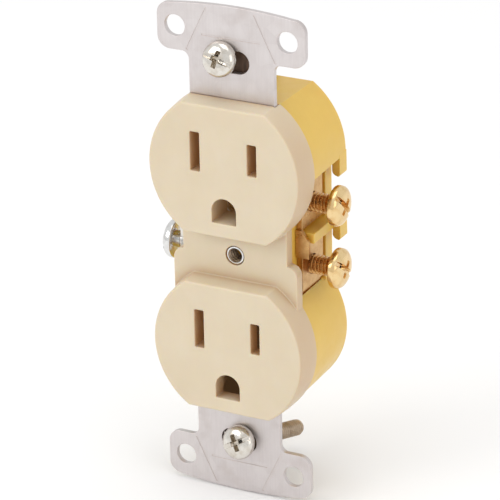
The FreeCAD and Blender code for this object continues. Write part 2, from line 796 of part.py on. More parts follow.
def mounting_strap():
    body = add_body("mounting_strap")
    for way in (1, -1):
        plate = add_sketch(body, "ear", "XZ_Plane", "0")
        ear_outline(plate, way)
        if way > 0:
            pad(body, plate, "strap_thick", backward=True)
        bend = add_sketch(body, "joggle", "YZ_Plane", "neck_half")
        joggle_outline(bend, way)
        if way > 0:
            pad(body, bend, "2 * neck_half", backward=True)
            spine = add_sketch(body, "spine", "XZ_Plane", "joggle_deep")
            draw_box(spine, "-spine_half", "spine_half", "-joggle_low", "joggle_low")
            pad(body, spine, "strap_thick", backward=True)
            for end in (1, -1):
                low = "spine_end" if end > 0 else "-joggle_low"
                high = "joggle_low" if end > 0 else "-spine_end"
                add_box(body, "shoulder", 1, "-neck_half", "neck_half", "joggle_deep",
                        "joggle_deep + strap_thick", low, high)
        else:
            pad(body, bend, "2 * neck_half", backward=True)
            pad(body, plate, "strap_thick", backward=True)
    for side in (1, -1):
        middle = ground_line(side)
        add_box(body, "lug", 1, "-lug_half", "lug_half", "joggle_deep", "joggle_deep + strap_thick",
                middle + " - lug_tall", middle + " + lug_tall")
    hub = add_sketch(body, "hub", "XZ_Plane", "joggle_deep")
    draw_circle(hub, "0", "0", "lug_half - 1")
    pad(body, hub, "strap_thick", backward=True)

    add_box(body, "tab_arm", -1, "spine_half - 1", "tab_face", "joggle_deep", "joggle_deep + strap_thick",
            "tab_centre - tab_arm_half", "tab_centre + tab_arm_half")
    add_box(body, "tab", -1, "tab_face - strap_thick", "tab_face", "joggle_deep", "tab_end",
            "tab_centre - tab_half", "tab_centre + tab_half")
    add_bore(body, "tab_hole", -1, "tab_centre", "screw_shank + screw_fit", "tab_face - strap_thick - 1",
             "tab_face + 1")

    holes = add_sketch(body, "holes", "XZ_Plane", "-1")
    for hand in (1, -1):
        for way in (1, -1):
            draw_circle(holes, "%d * ear_hole_across / 2" % hand, "%d * ear_hole_along / 2" % way, "ear_hole")
    for way in (1, -1):
        middle = "%d * box_half" % way
        end = "(slot_play / 2)"
        high = middle + " + slot_wide / 2"
        low = middle + " - slot_wide / 2"
        draw_outline(holes, [(end, low, end, middle, 1), (end, high),
                             ("-" + end, high, "-" + end, middle, 1), ("-" + end, low)])
        draw_circle(holes, "0", ground_line(way), "pin_clearance")
        for hand in (1, -1):
            draw_circle(holes, "%d * rivet_place" % hand, ground_line(way), "rivet_radius")
    draw_circle(holes, "0", "0", "bush_radius")
    draw_circle(holes, "0", "upper_fixing", "fixing_hole")
    draw_circle(holes, "0", "lower_fixing", "fixing_hole")
    pocket(body, holes)

    scores = add_sketch(body, "scores", "XZ_Plane", "-1")
    for way in (1, -1):
        for hand in (1, -1):
            draw_groove(scores, ("%d * score_in" % hand, "%d * ear_side" % way),
                        ("%d * (neck_half + score_wide)" % hand, "%d * (ear_low + score_wide)" % way))
    for way in (1, -1):
        level = "%d * (ear_low + score_low)" % way
        draw_groove(scores, ("-score_half", level), ("score_half", level))
    pocket(body, scores, "1 + score_deep")
    return body


def cover_screw_bush():
    """A bush swaged into the strap: its mouth shows in the bridge, its flange bears on the strap's back."""
    body = add_body("cover_screw_bush")
    profile = add_sketch(body, "profile", "YZ_Plane", "0")
    flange_back = "strap_floor + flange_thick"
    draw_outline(profile, [
        ("0", "bush_bore"), ("0", "bush_radius - bush_bevel"), ("bush_bevel", "bush_radius"),
        ("strap_floor", "bush_radius"), ("strap_floor", "bush_flange"), (flange_back, "bush_flange"),
        (flange_back, "bush_radius"), ("bush_length", "bush_radius"), ("bush_length", "bush_bore"),
    ])
    turn(body, profile, "Y_Axis")
    return body


def turn(body, sketch, role):
    """Revolve a half profile about one of the body's axes."""
    feature = body.newObject("PartDesign::Revolution", sketch.Name + "_turn")
    feature.Profile = sketch
    axis = [item for item in body.Origin.OriginFeatures if item.Role == role][0]
    feature.ReferenceAxis = (axis, [""])
    feature.Angle = 360
    document.recompute()
    return feature


def cross_recess(body, plane, place, half, wide, deep, backward):
    """A slot across the head and a shorter one at right angles to it."""
    arms = (("slot", half, wide + " / 2", "1"), ("cross", wide + " / 2", half + " / 2", "4 / 3"))
    for name, long_half, narrow_half, share in arms:
        sketch = add_sketch(body, name, plane, place)
        draw_box(sketch, "-(%s)" % long_half, long_half, "-(%s)" % narrow_half, narrow_half)
        pocket(body, sketch, "%s * (%s) + 1" % (share, deep), backward=backward)


def box_screw(name, offset, height, lean):
    """A 6-32 pan head screw, drawn along +Y from the underside of its head, then hung nose-down
    in its slot so that the top of its head rests on the strap."""
    body = add_body(name)
    profile = add_sketch(body, "profile", "YZ_Plane", "0")
    dome = "box_head * dome_share"
    draw_outline(profile, [
        ("-box_head_thick", "0"), ("-box_head_thick", dome), ("-box_head_thick * 3 / 4", "box_head * 6 / 7"),
        ("-box_head_thick / 3", "box_head"), ("0", "box_head"), ("0", "box_shank"),
        ("box_length - box_tip", "box_shank"), ("box_length", "box_shank * tip_share"), ("box_length", "0"),
    ])
    turn(body, profile, "Y_Axis")
    cross_recess(body, "XZ_Plane", "-box_head_thick - 1", dome, "recess_wide", "recess_deep", False)
    tilt = FreeCAD.Rotation(FreeCAD.Vector(1, 0, 0), -size("box_droop"))
    swing = FreeCAD.Rotation(FreeCAD.Vector(0, 0, 1), -lean)
    rotation = swing.multiply(tilt)
    axis = rotation.multVec(FreeCAD.Vector(0, 1, 0))
    pivot = FreeCAD.Vector(offset, size("strap_thick / 2"), height)
    stand = size("box_head") * math.sin(math.radians(size("box_droop"))) + size("retainer_gap")
    reach = (size("strap_thick / 2") + stand) / axis.y
    body.Placement = FreeCAD.Placement(pivot - axis * reach, rotation)
    return body


def screw_retainer(name, offset, way):
    """A fibre washer behind the strap's slot that keeps the screw from falling out."""
    body = add_body(name)
    washer = add_sketch(body, "washer", "XZ_Plane", "strap_thick + retainer_gap")
    middle = "%d * box_half" % way
    draw_box(washer, offset + " - retainer_half", offset + " + retainer_half",
             middle + " - retainer_half", middle + " + retainer_half")
    draw_circle(washer, offset, "%s + %s" % (middle, hole_drop(way)), "retainer_hole")
    pad(body, washer, "retainer_thick", backward=True)
    return body


def hole_drop(way):
    """How far the leaning screw's axis is from the slot's centre where it passes the washer."""
    behind = "(strap_thick / 2 + retainer_gap + retainer_thick / 2)"
    return "%d * upper_lift - %s * tan(box_droop)" % (way, behind)


def terminal_screw(name, hand, middle, face):
    """An 8-32 binding head screw along X, standing out of its plate so that a wire can go under its head."""
    body = add_body(name)
    profile = add_sketch(body, "profile", "XY_Plane", "0")
    draw_outline(profile, [
        ("-screw_length", "0"), ("-screw_length", "screw_shank * tip_share"),
        ("box_tip - screw_length", "screw_shank"), ("0", "screw_shank"),
        ("0", "screw_head"), ("screw_head_thick / 2", "screw_head"),
        ("screw_head_thick", "screw_head * 4 / 5"), ("screw_head_thick + screw_crown", "screw_head / 3"),
        ("screw_head_thick + screw_crown", "0"),
    ])
    turn(body, profile, "X_Axis")
    cross_recess(body, "YZ_Plane", "screw_head_thick + screw_crown + 1", "screw_head * 1.1",
                 "recess_wide", "recess_deep", False)
    rotation = FreeCAD.Rotation(FreeCAD.Vector(0, 0, 1), 0 if hand > 0 else 180)
    place = FreeCAD.Vector(hand * size("%s + screw_out" % face), size("screw_depth"), size(middle))
    body.Placement = FreeCAD.Placement(place, rotation)
    return body


def bus_bar(name, hand):
    """One stamped bar: two tapped plates joined by a break-off fin, each with a thinner tail that
    runs under the body's wall to a pair of leaves for the blade."""
    body = add_body(name)
    top = "%s + contact_tall / 2" % blade_line(1)
    bottom = "%s - contact_tall / 2" % blade_line(-1)
    upper_end = "rib_high + bar_ends"
    lower_end = "rib_low - bar_ends"
    tail = "bar_inside + tail_thick"
    add_box(body, "upper_plate", hand, "bar_inside", "bar_face", "bar_front", "bar_back",
            upper_end, "plate_high")
    add_box(body, "upper_tail", hand, "bar_inside", tail, "bar_front", "bar_back", "plate_high - 1", top)
    break_off_fin(body, hand)
    add_box(body, "lower_plate", hand, "bar_inside", "bar_face", "bar_front", "bar_back",
            "plate_low", lower_end)
    add_box(body, "lower_tail", hand, "bar_inside", tail, "bar_front", "bar_back", bottom, "plate_low + 1")
    near = "(blade_pitch / 2 - leaf_gap / 2 - leaf_thick)"
    far = "(blade_pitch / 2 + leaf_gap / 2)"
    web_back = "(web_depth + leaf_thick)"
    for side in (1, -1):
        low = "%s - contact_tall / 2" % blade_line(side)
        high = "%s + contact_tall / 2" % blade_line(side)
        add_box(body, "web", hand, near, tail, "web_depth", web_back, low, high)
        for leaf in (near, far):
            add_box(body, "leaf", hand, leaf, leaf + " + leaf_thick", "leaf_front", web_back, low, high)
    for side in (1, -1):
        add_bore(body, "tapping", hand, screw_line(side), "screw_shank + screw_fit",
                 "bar_inside - 1", "bar_face + 1")
    return body


def break_off_fin(body, hand):
    """The fin stands out between the two plates, with a sloped shoulder at its top."""
    sketch = add_sketch(body, "fin", "XZ_Plane", "fin_back")
    high = "(blade_rise + fin_high)"
    low = "(blade_rise - fin_low)"
    edge = "(bar_face + fin_out)"
    shoulder = high + " - fin_slope"
    corners = [("bar_inside", low), (edge, low), (edge, shoulder), ("bar_face", high), ("bar_inside", high)]
    if hand < 0:
        corners = [mirrored(corner) for corner in corners]
    draw_outline(sketch, corners)
    pad(body, sketch, "fin_back - fin_front")


def ground_contact(name, side):
    """A plate riveted behind the strap, with a leaf above and a leaf below the plug's round pin."""
    body = add_body(name)
    middle = ground_line(side)
    plate = add_sketch(body, "plate", "XZ_Plane", "strap_floor")
    wide = "(lug_half - 2 * bar_gap)"
    draw_box(plate, "-" + wide, wide, middle + " - ground_plate_half", middle + " + ground_plate_half")
    for hand in (1, -1):
        draw_circle(plate, "%d * rivet_place" % hand, middle, "rivet_radius")
    pad(body, plate, "ground_plate", backward=True)
    for way in (1, -1):
        near = "%s + %d * ground_grip" % (middle, way)
        far = "%s + %d * (ground_grip + ground_leaf)" % (middle, way)
        low, high = (near, far) if way > 0 else (far, near)
        add_box(body, "leaf", 1, "-ground_leaf_half", "ground_leaf_half", "strap_floor", "ground_leaf_end",
                low, high)
    hole = add_sketch(body, "hole", "XZ_Plane", "strap_floor - 1")
    draw_box(hole, "-ground_leaf_half", "ground_leaf_half",
             middle + " - ground_grip", middle + " + ground_grip")
    pocket(body, hole, "1 + ground_plate")
    return body


def push_in_spring(name, hand, side):
    """A bent leaf that pins a straight wire against the bus bar's plate."""
    body = add_body(name)
    sketch = add_sketch(body, "leaf", "XY_Plane", wire_line(side) + " - spring_half")
    near = "(bar_inside - pocket_in + spring_gap)"
    tip = "(bar_inside - spring_tip_gap)"
    end = "(pocket_back - spring_gap)"
    level = "(spring_front + spring_bend)"
    path = [
        (near, end), (near, level),
        (near + " + spring_fold", "spring_front"), (near + " + 2 * spring_fold", level),
        (tip, "spring_tip"), (tip + " - spring_thick", "spring_tip"),
        (near + " + 2 * spring_fold - spring_thick", level + " + spring_thick / 2"),
        (near + " + spring_fold", "spring_front + spring_thick"),
        (near + " + spring_thick", level + " + spring_thick / 2"),
        (near + " + spring_thick", end),
    ]
    draw_outline(sketch, [("%d * (%s)" % (hand, across), along) for across, along in path])
    pad(body, sketch, "2 * spring_half")
    return body


def cylinder(name, across, start, up, radius, length):
    """A round bar along +Y."""
    part = document.addObject("Part::Cylinder", name)
    part.setExpression("Radius", cells(radius))
    part.setExpression("Height", cells(length))
    turned = FreeCAD.Rotation(FreeCAD.Vector(1, 0, 0), -90)
    part.Placement = FreeCAD.Placement(FreeCAD.Vector(0, 0, 0), turned)
    part.setExpression("Placement.Base.x", cells(across))
    part.setExpression("Placement.Base.y", cells(start))
    part.setExpression("Placement.Base.z", cells(up))
    return part


def join(name, parts):
    fused = document.addObject("Part::MultiFuse", name)
    fused.Shapes = parts
    return fused


def group(name, parts):
    compound = document.addObject("Part::Compound", name)
    compound.Links = parts
    compound.Label = name
    nodes.append(compound)
    return compound


def ground_contact_rivets():
    rivets = []
    front = "joggle_deep"
    through = "strap_thick + ground_plate"
    for side in (1, -1):
        for hand in (1, -1):
            across = "%d * rivet_place" % hand
            middle = ground_line(side)
            shank = cylinder("rivet_shank", across, front, middle, "rivet_radius", through)
            tail = cylinder("rivet_tail", across, front + " + " + through, middle, "rivet_head", "rivet_rise")
            rivets.append(join("rivet", [shank, tail]))
    return group("ground_contact_rivets", rivets)


def assembly_screws():
    """Long screws from the back of the body, through the strap, into bosses in the cover."""
    screws = []
    for middle in ("upper_fixing", "lower_fixing"):
        seat = "body_depth - fixing_sink"
        shank = cylinder("fixing_shank", "0", "fixing_end", middle, "fixing_radius", seat + " - fixing_end")
        head = cylinder("fixing_head", "0", seat, middle, "fixing_head", "fixing_head_thick")
        whole = join("fixing", [shank, head])
        slot = document.addObject("Part::Box", "fixing_slot")
        slot.setExpression("Length", cells("fixing_head * 3"))
        slot.setExpression("Width", cells("fixing_head_thick"))
        slot.setExpression("Height", cells("recess_wide"))
        slot.setExpression("Placement.Base.x", cells("-fixing_head * 3 / 2"))
        slot.setExpression("Placement.Base.y", cells(seat + " + fixing_head_thick / 2"))
        slot.setExpression("Placement.Base.z", cells("%s - recess_wide / 2" % middle))
        cut = document.addObject("Part::Cut", "fixing_cut")
        cut.Base = whole
        cut.Tool = slot
        screws.append(cut)
    return group("assembly_screws", screws)


def check_and_write():
    document.recompute()
    for item in document.Objects:
        if "Invalid" in item.State or "Error" in item.State:
            raise RuntimeError("failed object: " + item.Name)
    os.makedirs("parts", exist_ok=True)
    for node in nodes:
        shape = node.Shape
        if shape.isNull() or not shape.isValid():
            raise RuntimeError("bad shape: " + node.Label)
        print("%-28s solids %d volume %.2f" % (node.Label, len(shape.Solids), shape.Volume))
        shape.exportStep("parts/%s.step" % node.Label)


front_cover()
rear_body()
mounting_strap()
cover_screw_bush()
half_pitch = size("box_half")
box_screw("upper_box_screw", size("upper_offset"), half_pitch + size("upper_lift"), 0)
box_screw("lower_box_screw", size("lower_offset"), -half_pitch - size("upper_lift"), size("lower_lean"))
screw_retainer("upper_screw_retainer", "upper_offset", 1)
screw_retainer("lower_screw_retainer", "lower_offset", -1)
for wire, wire_hand in (("hot", 1), ("neutral", -1)):
    bus_bar(wire + "_bus_bar", wire_hand)
    for level, level_side in (("upper", 1), ("lower", -1)):
        terminal_screw("%s_screw_%s" % (wire, level), wire_hand, screw_line(level_side), "bar_face")
        push_in_spring("%s_push_in_spring_%s" % (wire, level), wire_hand, level_side)
terminal_screw("ground_screw", -1, "tab_centre", "tab_face")
ground_contact("ground_contact_upper", 1)
ground_contact("ground_contact_lower", -1)
ground_contact_rivets()
assembly_screws()
check_and_write()
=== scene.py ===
import json
import math
import bmesh
import bpy
from mathutils import Matrix, Vector
from mathutils.bvhtree import BVHTree

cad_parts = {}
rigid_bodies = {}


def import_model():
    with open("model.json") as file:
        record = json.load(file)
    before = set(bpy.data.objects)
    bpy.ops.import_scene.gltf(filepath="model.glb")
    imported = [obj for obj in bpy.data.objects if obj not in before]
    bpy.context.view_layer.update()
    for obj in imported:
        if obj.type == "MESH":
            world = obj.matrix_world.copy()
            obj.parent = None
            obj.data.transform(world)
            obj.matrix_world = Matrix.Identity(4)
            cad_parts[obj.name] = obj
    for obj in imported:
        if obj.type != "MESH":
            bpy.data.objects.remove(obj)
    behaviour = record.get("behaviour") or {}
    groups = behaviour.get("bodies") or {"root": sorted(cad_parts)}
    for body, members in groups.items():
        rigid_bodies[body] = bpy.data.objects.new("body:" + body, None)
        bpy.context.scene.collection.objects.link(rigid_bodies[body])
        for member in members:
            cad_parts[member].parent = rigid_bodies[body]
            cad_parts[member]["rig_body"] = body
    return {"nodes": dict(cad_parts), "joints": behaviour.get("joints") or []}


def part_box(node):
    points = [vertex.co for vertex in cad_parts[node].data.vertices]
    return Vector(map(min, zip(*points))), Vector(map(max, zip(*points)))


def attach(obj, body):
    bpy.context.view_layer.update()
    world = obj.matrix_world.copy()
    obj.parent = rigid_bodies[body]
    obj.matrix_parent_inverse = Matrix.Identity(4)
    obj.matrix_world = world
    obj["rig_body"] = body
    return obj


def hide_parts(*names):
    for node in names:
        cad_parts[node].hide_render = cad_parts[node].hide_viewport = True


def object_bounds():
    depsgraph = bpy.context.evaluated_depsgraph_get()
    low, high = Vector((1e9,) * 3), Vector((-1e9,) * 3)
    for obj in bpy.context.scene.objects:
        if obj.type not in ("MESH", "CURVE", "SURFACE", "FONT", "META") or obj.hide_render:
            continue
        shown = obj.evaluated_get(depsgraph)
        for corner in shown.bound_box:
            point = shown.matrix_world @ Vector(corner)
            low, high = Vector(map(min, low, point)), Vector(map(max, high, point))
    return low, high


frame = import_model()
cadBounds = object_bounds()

scene = bpy.context.scene
scene.view_settings.view_transform = "Standard"
mmToM = 0.001
print("frame loaded:", len(frame["nodes"]), "nodes")


class Finish:  # a node material that is put together step by step
    def __init__(self, name):
        self.material = bpy.data.materials.new(name)
        self.material.use_nodes = True
        self.nodes = self.material.node_tree.nodes
        self.links = self.material.node_tree.links
        self.shader = self.nodes["Principled BSDF"]
        self.place = self.nodes.new("ShaderNodeTexCoord").outputs["Object"]

    def stretched(self, along):  # coordinates squeezed so that a pattern runs long in one direction
        mapping = self.nodes.new("ShaderNodeMapping")
        mapping.inputs["Scale"].default_value = along
        self.links.new(self.place, mapping.inputs["Vector"])
        return mapping.outputs["Vector"]

    def noise(self, size, detail=3.0, along=None, rough=0.55):  # size is the width of a patch in mm
        node = self.nodes.new("ShaderNodeTexNoise")
        node.inputs["Scale"].default_value = 1 / (size * mmToM)
        node.inputs["Detail"].default_value = detail
        node.inputs["Roughness"].default_value = rough
        self.links.new(self.stretched(along) if along else self.place, node.inputs["Vector"])
        return node.outputs["Fac"]

    def cells(self, size, along=None):
        node = self.nodes.new("ShaderNodeTexVoronoi")
        node.inputs["Scale"].default_value = 1 / (size * mmToM)
        self.links.new(self.stretched(along) if along else self.place, node.inputs["Vector"])
        return node

    def spread(self, value, low, high, fromLow=0.3, fromHigh=0.7):
        node = self.nodes.new("ShaderNodeMapRange")
        node.inputs["From Min"].default_value = fromLow
        node.inputs["From Max"].default_value = fromHigh
        node.inputs["To Min"].default_value = low
        node.inputs["To Max"].default_value = high
        self.links.new(value, node.inputs["Value"])
        return node.outputs["Result"]

    def blend(self, share, first, second):
        node = self.nodes.new("ShaderNodeMix")
        node.data_type = "RGBA"
        for socket, value in ((node.inputs[6], first), (node.inputs[7], second)):
            if isinstance(value, tuple):
                socket.default_value = (*value, 1)
            else:
                self.links.new(value, socket)
        self.links.new(share, node.inputs[0])
        return node.outputs[2]

    def mathNode(self, kind, first, second):
        node = self.nodes.new("ShaderNodeMath")
        node.operation = kind
        for socket, value in ((node.inputs[0], first), (node.inputs[1], second)):
            if isinstance(value, float):
                socket.default_value = value
            else:
                self.links.new(value, socket)
        return node.outputs[0]

    def hollows(self, low, high):  # 0 in hollows, 1 on crests, for finely meshed pieces
        geometry = self.nodes.new("ShaderNodeNewGeometry")
        return self.spread(geometry.outputs["Pointiness"], 0.0, 1.0, low, high)

    def edges(self, width):  # 1 along every edge, falling to 0 a short way in
        rounded = self.nodes.new("ShaderNodeBevel")
        rounded.inputs["Radius"].default_value = width * mmToM
        geometry = self.nodes.new("ShaderNodeNewGeometry")
        along = self.nodes.new("ShaderNodeVectorMath")
        along.operation = "DOT_PRODUCT"
        self.links.new(rounded.outputs["Normal"], along.inputs[0])
        self.links.new(geometry.outputs["Normal"], along.inputs[1])
        return self.spread(along.outputs["Value"], 1.0, 0.0, 0.86, 0.995)

    def sideways(self, low, high):  # 0 on the front and back, 1 on the flanks, the mask for painted side light and shade
        split = self.nodes.new("ShaderNodeSeparateXYZ")
        self.links.new(self.place.node.outputs["Normal"], split.inputs["Vector"])
        return self.spread(self.mathNode("ABSOLUTE", split.outputs["X"], 0.0), 0.0, 1.0, low, high)

    def recesses(self, reach):  # 0 on open faces, 1 deep in a hole or corner, from ambient occlusion: the mask for painted shade
        shade = self.nodes.new("ShaderNodeAmbientOcclusion")
        shade.samples = 6
        shade.inputs["Distance"].default_value = reach * mmToM
        return self.spread(shade.outputs["AO"], 1.0, 0.0, 0.25, 0.85)

    def bump(self, heights):  # heights are (value, depth in mm) pairs, laid over each other
        normal = None
        for value, depth in heights:
            node = self.nodes.new("ShaderNodeBump")
            node.inputs["Strength"].default_value = 1.0
            node.inputs["Distance"].default_value = depth * mmToM
            self.links.new(value, node.inputs["Height"])
            if normal:
                self.links.new(normal, node.inputs["Normal"])
            normal = node.outputs["Normal"]
        self.links.new(normal, self.shader.inputs["Normal"])

    def colour(self, value):
        self.links.new(value, self.shader.inputs["Base Color"])

    def roughness(self, value):
        self.links.new(value, self.shader.inputs["Roughness"])

    def fixed(self, **values):
        for name, value in values.items():
            self.shader.inputs[name.replace("_", " ")].default_value = value


mouldings = {  # colours are linear; the edge colour is a painted highlight, the flank colour painted side light and shade, the recess colour painted shade with a painted glow
    "ivory": {"light": (0.69, 0.595, 0.445), "deep": (0.655, 0.555, 0.40), "edge": (0.74, 0.67, 0.53),
              "flank": (0.60, 0.44, 0.28), "flankLightShare": 0.9, "edgeHighlightWide": 0.25, "edgeHighlightShare": 0.35,
              "recessShade": (0.42, 0.22, 0.09), "shadeReach": 3.6, "glow": 0.10, "rough": (0.36, 0.50),
              "scatter": 0.30, "reach": 0.0012, "grain": 0.004},
    "yellow": {"light": (0.73, 0.49, 0.095), "deep": (0.66, 0.42, 0.070), "edge": (0.84, 0.63, 0.19),
               "flank": (0.76, 0.51, 0.10), "flankLightShare": 0.5, "edgeHighlightWide": 0.20, "edgeHighlightShare": 0.35,
               "recessShade": (0.62, 0.32, 0.035), "shadeReach": 3.0, "glow": 0.14, "rough": (0.28, 0.42),
               "scatter": 0.40, "reach": 0.0020, "grain": 0.004},
}


def mouldedPlastic(name):
    s = mouldings[name]
    f = Finish(name + "MouldedPlastic")
    cloudy = f.blend(f.spread(f.noise(9, 4), 0, 1), s["light"], s["deep"])
    flowed = f.blend(f.spread(f.noise(2.2, 5, (1, 1, 0.25)), 0, 0.35), cloudy, s["deep"])
    # painted highlight: the lighter edge colour laid along every edge
    eased = f.blend(f.mathNode("MULTIPLY", f.edges(s["edgeHighlightWide"]), s["edgeHighlightShare"]), flowed, s["edge"])
    # painted shade: the recess colour laid into holes and corners, with a painted glow of the same colour there
    deep = f.recesses(s["shadeReach"])
    # painted light and shade on the flanks: darker sides on the ivory, lighter sides on the yellow
    flankLit = f.blend(f.mathNode("MULTIPLY", f.sideways(0.45, 0.95), s["flankLightShare"]), eased, s["flank"])
    f.colour(f.blend(deep, flankLit, s["recessShade"]))
    f.links.new(f.mathNode("MULTIPLY", deep, s["glow"]), f.shader.inputs["Emission Strength"])
    f.shader.inputs["Emission Color"].default_value = (*s["recessShade"], 1)  # stands in for light let through
    f.roughness(f.spread(f.noise(3.5, 5), *s["rough"]))
    f.bump([(f.noise(0.16, 3), s["grain"]), (f.noise(7, 2), 0.02)])
    f.fixed(IOR=1.5, Subsurface_Weight=s["scatter"], Subsurface_Scale=s["reach"])
    f.shader.inputs["Subsurface Radius"].default_value = (1.0, 0.6, 0.2)
    return f.material


galvanising = {"bright": (0.70, 0.66, 0.655), "dull": (0.58, 0.535, 0.53), "stain": (0.50, 0.43, 0.40),
               "edge": (0.66, 0.54, 0.46), "edgeHighlightWide": 0.15, "edgeHighlightShare": 0.5, "flower": 2.4, "drawn": 0.35,
               "rough": (0.36, 0.52)}


def galvanisedSteel():
    s = galvanising
    f = Finish("galvanisedSteel")
    flowers = f.cells(s["flower"], (1, 1, 0.8))
    shade = f.blend(f.spread(flowers.outputs["Color"], 0.0, 0.35, 0.0, 1.0), s["bright"], s["dull"])
    drawn = f.noise(s["drawn"], 4, (1, 1, 0.05))
    drawnShade = f.blend(f.spread(drawn, 0.0, 0.3, 0.4, 0.75), shade, s["dull"])
    cloud = f.noise(6, 5)
    stained = f.blend(f.spread(cloud, 0.0, 0.45, 0.55, 0.8), drawnShade, s["stain"])
    # painted highlight: a brown edge colour laid along every edge of the strap
    f.colour(f.blend(f.mathNode("MULTIPLY", f.edges(s["edgeHighlightWide"]), s["edgeHighlightShare"]), stained, s["edge"]))
    f.roughness(f.spread(f.mathNode("ADD", flowers.outputs["Distance"], cloud), *s["rough"], 0.4, 1.1))
    f.bump([(drawn, 0.003), (flowers.outputs["Distance"], 0.004), (f.noise(0.22, 2), 0.003),
            (f.noise(9, 1), 0.03)])
    f.fixed(Metallic=1.0)
    return f.material


platings = {  # bright, worn and painted shade, low and high roughness
    "brassPlate": {"bright": (0.84, 0.63, 0.33), "worn": (0.66, 0.37, 0.12), "rough": (0.10, 0.24)},
    "brassThread": {"bright": (0.66, 0.38, 0.14), "worn": (0.40, 0.19, 0.055), "rough": (0.20, 0.38)},
    "nickelPlate": {"bright": (0.78, 0.78, 0.77), "worn": (0.52, 0.51, 0.50), "rough": (0.08, 0.22)},
    "zincPlate": {"bright": (0.74, 0.71, 0.66), "worn": (0.45, 0.38, 0.29), "rough": (0.12, 0.28)},
    "dullShank": {"bright": (0.50, 0.40, 0.30), "worn": (0.15, 0.10, 0.06), "rough": (0.30, 0.55)},
    "greenDye": {"bright": (0.09, 0.38, 0.16), "worn": (0.03, 0.17, 0.07), "rough": (0.20, 0.38)},
    "brassStrip": {"bright": (0.64, 0.40, 0.17), "worn": (0.42, 0.20, 0.055), "rough": (0.24, 0.44)},
    "tinStrip": {"bright": (0.78, 0.75, 0.70), "worn": (0.55, 0.51, 0.46), "rough": (0.26, 0.45)},
    "springSteel": {"bright": (0.56, 0.57, 0.60), "worn": (0.32, 0.31, 0.31), "rough": (0.20, 0.38)},
}


stamped = ("brassStrip", "tinStrip", "springSteel")  # not turned, so not darkened in hollows
plateWearAndShade = {"patch": 1.6, "shadeReach": 2.5, "shadeShare": 0.55, "turning": 0.10}


def plated(name):
    s = platings[name]
    f = Finish(name)
    tarnish = f.noise(plateWearAndShade["patch"], 5)
    shade = f.blend(f.spread(tarnish, 0.0, 0.7, 0.42, 0.78), s["bright"], s["worn"])
    toned = shade if name in stamped else f.blend(f.hollows(0.40, 0.50), s["worn"], shade)
    # painted shade: the worn colour laid into holes and corners
    paintedShade = f.mathNode("MULTIPLY", f.recesses(plateWearAndShade["shadeReach"]), plateWearAndShade["shadeShare"])
    f.colour(f.blend(paintedShade, toned, s["worn"]))
    turned = f.noise(plateWearAndShade["turning"], 2, (1, 1, 0.15))
    f.roughness(f.spread(f.noise(0.7, 4), *s["rough"]))
    f.bump([(turned, 0.0005), (f.noise(2.5, 2), 0.003)])
    f.fixed(Metallic=1.0)
    return f.material


def pressedFibre():
    f = Finish("pressedFibre")
    fibres = f.noise(0.5, 6, (1, 1, 0.15))
    f.colour(f.blend(f.spread(fibres, 0, 1), (0.055, 0.028, 0.015), (0.13, 0.07, 0.04)))
    f.roughness(f.spread(f.noise(1.2, 3), 0.55, 0.8))
    f.bump([(fibres, 0.02)])
    return f.material


finishes = {name: plated(name) for name in platings}
finishes["ivory"] = mouldedPlastic("ivory")
finishes["yellow"] = mouldedPlastic("yellow")
finishes["galvanised"] = galvanisedSteel()
finishes["fibre"] = pressedFibre()
print("finishes made:", len(finishes))


def addPiece(name, mesh, looks, node, place=None):
    for look in looks:
        mesh.materials.append(finishes[look])
    piece = bpy.data.objects.new(name, mesh)
    scene.collection.objects.link(piece)
    if place is not None:
        piece.matrix_world = place
    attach(piece, frame["nodes"][node]["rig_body"])
    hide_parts(node)
    return piece


def settled(piece):  # the mesh with every modifier worked into it
    view = bpy.context.evaluated_depsgraph_get()
    mesh = bpy.data.meshes.new_from_object(piece.evaluated_get(view))
    piece.modifiers.clear()
    piece.data = mesh
    return mesh


easing = {"angle": 32, "steps": 3, "needle": 24, "slim": 0.10,  # degrees, count, degrees, mm
          "weld": 0.002, "level": 0.6, "thrown": 0.45}  # mm, degrees, share of the eased width


def markEdges(bm, angle):  # edges to ease, without needle corners and faces too slim for it
    mark = bm.edges.layers.float.new("bevel_weight_edge")
    for edge in bm.edges:
        if len(edge.link_faces) == 2 and edge.calc_face_angle(0) > math.radians(angle):
            slimmest = min(2 * face.calc_area() / face.calc_perimeter() for face in edge.link_faces)
            if slimmest > easing["slim"] * mmToM:
                edge[mark] = 1.0
    for face in bm.faces:
        for loop in face.loops:
            if loop.calc_angle() < math.radians(easing["needle"]):
                loop.edge[mark] = 0.0
                loop.link_loop_prev.edge[mark] = 0.0


def softenEdges(piece, width, angle, steps):
    bm = bmesh.new()
    bm.from_mesh(piece.data)
    markEdges(bm, angle)
    bm.to_mesh(piece.data)
    bm.free()
    bevel = piece.modifiers.new("soft edges", "BEVEL")
    bevel.width = width * mmToM
    bevel.segments = steps
    bevel.limit_method = "WEIGHT"
    bevel.use_clamp_overlap = False
    bevel.miter_outer = "MITER_ARC"
    settled(piece)


def smoothShade(mesh, angle=30):
    mesh.shade_smooth()
    bm = bmesh.new()
    bm.from_mesh(mesh)
    for edge in bm.edges:
        edge.smooth = len(edge.link_faces) == 2 and edge.calc_face_angle(0) < math.radians(angle)
    bm.to_mesh(mesh)
    bm.free()


def laidOn(mesh, form, reach):  # points that the easing threw off the form go back to its skin
    tree = BVHTree.FromPolygons([v.co for v in form.vertices], [tuple(p.vertices) for p in form.polygons])
    for vertex in mesh.vertices:
        near, _, _, gap = tree.find_nearest(vertex.co)
        if gap > reach * mmToM:
            vertex.co = near


